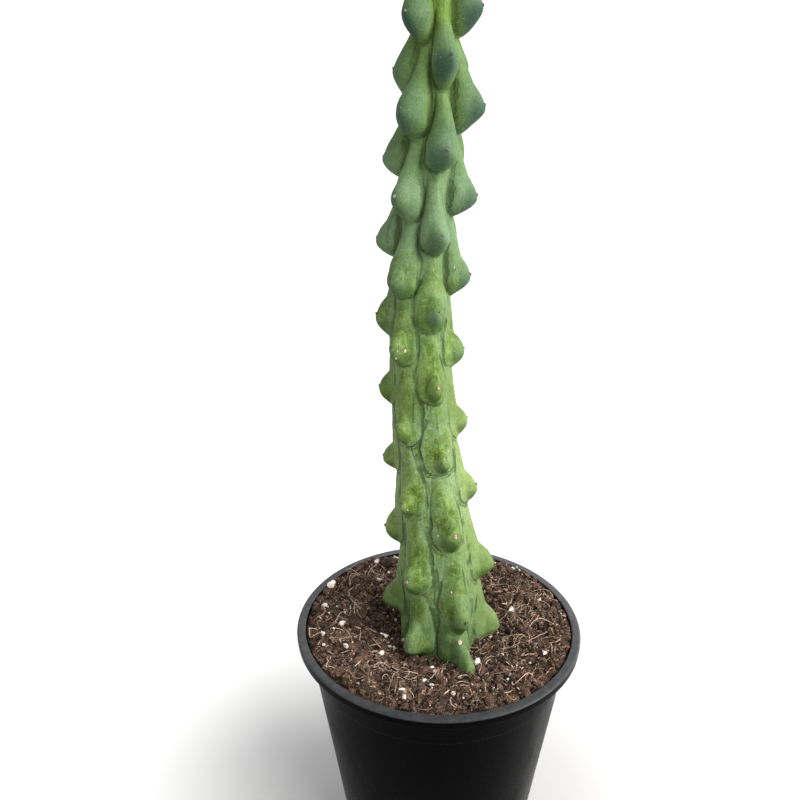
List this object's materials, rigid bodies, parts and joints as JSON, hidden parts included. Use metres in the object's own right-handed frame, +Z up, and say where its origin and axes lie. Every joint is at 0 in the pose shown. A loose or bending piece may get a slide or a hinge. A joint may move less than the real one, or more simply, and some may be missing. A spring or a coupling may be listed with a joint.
{
  "type": "potted boobie cactus",
  "caption": "Tall ribbed columnar cactus with drooping drop-shaped tubercles, standing in potting mix in a tapered black nursery pot with a rolled lip.",
  "frame": {"origin": "centre of the pot's foot ring, on the plane it stands on", "axes": "+Z up the stem, -Y towards the side that the picture shows, +X to the viewer's right"},
  "size_m": [0.152, 0.152, 0.4736],
  "materials": {
    "pot_plastic": "thin black moulded plastic, smooth with a soft sheen, faintly dusty",
    "potting_mix": null,
    "stem_skin": null
  },
  "bodies": {
    "root": {"pot": "pot_plastic", "soil": "potting_mix", "cactus": "stem_skin"}
  },
  "joints": []
}
